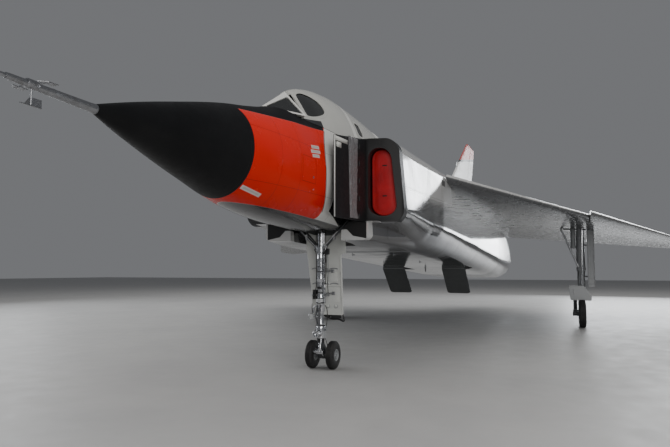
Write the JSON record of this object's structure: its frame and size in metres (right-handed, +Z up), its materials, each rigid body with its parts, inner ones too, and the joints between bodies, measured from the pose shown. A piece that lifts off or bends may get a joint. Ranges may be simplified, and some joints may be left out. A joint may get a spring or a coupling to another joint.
{
  "type": "delta wing twin engine jet interceptor aircraft",
  "caption": "Full-size delta-wing jet fighter parked on its landing gear, with side intakes, clamshell canopies, open belly air brakes, rudder, elevators and ailerons.",
  "frame": {"origin": "on the ground under the middle of the overall box", "axes": "+X to the nose, +Y to port, +Z up"},
  "size_m": [23.7102, 15.24, 6.25],
  "materials": {
    "radome": "matte",
    "skin_white": "gloss",
    "skin_alloy": "satin",
    "probe_steel": "satin",
    "glazing": "gloss",
    "seat_cloth": "matte",
    "panel_black": "matte",
    "intake_black": "satin",
    "cover_red": "satin",
    "engine_block": "satin",
    "nozzle_metal": "satin",
    "gear_chrome": "polished",
    "door_grey": "satin",
    "brake_grey": "satin",
    "wheel_rubber": "matte"
  },
  "bodies": {
    "airframe": {"radome": "radome", "nose_probe": "probe_steel", "forward_fuselage": "skin_white", "windscreen_frame": "skin_white", "windscreen_pane_left": "glazing", "windscreen_pane_right": "glazing", "seat_front": "seat_cloth", "seat_rear": "seat_cloth", "instrument_panel_front": "panel_black", "instrument_panel_rear": "panel_black", "centre_fuselage": "skin_alloy", "intake_ramp_left": "intake_black", "intake_ramp_right": "intake_black", "weapons_pack": "skin_white", "aft_fuselage": "skin_alloy", "engine_left": "engine_block", "engine_right": "engine_block", "nozzle_left": "nozzle_metal", "nozzle_right": "nozzle_metal", "tail_cone": "skin_alloy", "dorsal_spine": "skin_alloy", "fin": "skin_alloy", "wing_left": "skin_alloy", "wing_right": "skin_alloy", "nose_gear_leg": "gear_chrome", "nose_gear_door": "skin_white", "main_gear_leg_left": "gear_chrome", "main_gear_leg_right": "gear_chrome", "main_gear_brace_left": "gear_chrome", "main_gear_brace_right": "gear_chrome", "main_gear_door_left": "door_grey", "main_gear_door_right": "door_grey", "main_gear_lower_door_left": "door_grey", "main_gear_lower_door_right": "door_grey"},
    "nose_steering": {"nose_gear_fork": "gear_chrome", "landing_light": "gear_chrome"},
    "nose_wheels": {"nose_wheels": "wheel_rubber"},
    "main_wheel_front_left": {"main_wheel_front_left": "wheel_rubber"},
    "main_wheel_front_right": {"main_wheel_front_right": "wheel_rubber"},
    "main_wheel_rear_left": {"main_wheel_rear_left": "wheel_rubber"},
    "main_wheel_rear_right": {"main_wheel_rear_right": "wheel_rubber"},
    "rudder": {"rudder": "skin_alloy"},
    "elevator_left": {"elevator_left": "skin_alloy"},
    "aileron_left": {"aileron_left": "skin_alloy"},
    "airbrake_left": {"airbrake_left": "brake_grey"},
    "canopy_front_left": {"canopy_front_left": "skin_white", "canopy_window_front_left": "glazing"},
    "canopy_rear_left": {"canopy_rear_left": "skin_white", "canopy_window_rear_left": "glazing"},
    "intake_cover_left": {"intake_cover_left": "cover_red"},
    "elevator_right": {"elevator_right": "skin_alloy"},
    "aileron_right": {"aileron_right": "skin_alloy"},
    "airbrake_right": {"airbrake_right": "brake_grey"},
    "canopy_front_right": {"canopy_front_right": "skin_white", "canopy_window_front_right": "glazing"},
    "canopy_rear_right": {"canopy_rear_right": "skin_white", "canopy_window_rear_right": "glazing"},
    "intake_cover_right": {"intake_cover_right": "cover_red"}
  },
  "joints": [
    {"name": "nose_steer", "type": "hinge", "parent": "airframe", "child": "nose_steering", "pos_m": [5.685, 0, 1], "axis": [0, 0, 1], "range_deg": [-55, 55]},
    {"name": "nose_wheel_spin", "type": "hinge", "parent": "nose_steering", "child": "nose_wheels", "pos_m": [5.595, 0, 0.215], "axis": [0, 1, 0], "continuous": true},
    {"name": "main_wheel_front_left_spin", "type": "hinge", "parent": "airframe", "child": "main_wheel_front_left", "pos_m": [-3.175, 3.81, 0.368], "axis": [0, 1, 0], "continuous": true},
    {"name": "main_wheel_front_right_spin", "type": "hinge", "parent": "airframe", "child": "main_wheel_front_right", "pos_m": [-3.175, -3.81, 0.368], "axis": [0, 1, 0], "continuous": true},
    {"name": "main_wheel_rear_left_spin", "type": "hinge", "parent": "airframe", "child": "main_wheel_rear_left", "pos_m": [-3.975, 3.81, 0.368], "axis": [0, 1, 0], "continuous": true},
    {"name": "main_wheel_rear_right_spin", "type": "hinge", "parent": "airframe", "child": "main_wheel_rear_right", "pos_m": [-3.975, -3.81, 0.368], "axis": [0, 1, 0], "continuous": true},
    {"name": "rudder_hinge", "type": "hinge", "parent": "airframe", "child": "rudder", "pos_m": [-7.1333, 0, 3.45], "axis": [-0.5808, 0, 0.8141], "range_deg": [-30, 30]},
    {"name": "elevator_left_hinge", "type": "hinge", "parent": "airframe", "child": "elevator_left", "pos_m": [-6.49826, 1.475, 2.78906], "axis": [-0.2664, 0.9604, -0.0815], "range_deg": [-20, 30]},
    {"name": "aileron_left_hinge", "type": "hinge", "parent": "airframe", "child": "aileron_left", "pos_m": [-7.6532, 4.065, 2.54748], "axis": [-0.2703, 0.9593, -0.0816], "range_deg": [-19, 19]},
    {"name": "airbrake_left_hinge", "type": "hinge", "parent": "airframe", "child": "airbrake_left", "pos_m": [-1.09, 0.785, 1.642], "axis": [0, 1, 0], "range_deg": [0, 37.1]},
    {"name": "canopy_front_left_hinge", "type": "hinge", "parent": "airframe", "child": "canopy_front_left", "pos_m": [5.47, 0.575, 3.46053], "axis": [-0.9997, 0, -0.0229], "range_deg": [0, 60]},
    {"name": "canopy_rear_left_hinge", "type": "hinge", "parent": "airframe", "child": "canopy_rear_left", "pos_m": [3.95, 0.556, 3.48772], "axis": [-0.9997, 0, -0.0229], "range_deg": [0, 60]},
    {"name": "intake_cover_left_pull", "type": "slide", "parent": "airframe", "child": "intake_cover_left", "axis": [1, 0, 0], "range_m": [0, 0.8]},
    {"name": "elevator_right_hinge", "type": "hinge", "parent": "airframe", "child": "elevator_right", "pos_m": [-6.49826, -1.475, 2.78906], "axis": [0.2664, 0.9604, 0.0815], "range_deg": [-20, 30]},
    {"name": "aileron_right_hinge", "type": "hinge", "parent": "airframe", "child": "aileron_right", "pos_m": [-7.6532, -4.065, 2.54748], "axis": [0.2703, 0.9593, 0.0816], "range_deg": [-19, 19]},
    {"name": "airbrake_right_hinge", "type": "hinge", "parent": "airframe", "child": "airbrake_right", "pos_m": [-1.09, -0.785, 1.642], "axis": [0, 1, 0], "range_deg": [0, 37.1]},
    {"name": "canopy_front_right_hinge", "type": "hinge", "parent": "airframe", "child": "canopy_front_right", "pos_m": [5.47, -0.575, 3.46053], "axis": [0.9997, 0, 0.0229], "range_deg": [0, 60]},
    {"name": "canopy_rear_right_hinge", "type": "hinge", "parent": "airframe", "child": "canopy_rear_right", "pos_m": [3.95, -0.556, 3.48772], "axis": [0.9997, 0, 0.0229], "range_deg": [0, 60]},
    {"name": "intake_cover_right_pull", "type": "slide", "parent": "airframe", "child": "intake_cover_right", "axis": [1, 0, 0], "range_m": [0, 0.8]}
  ]
}
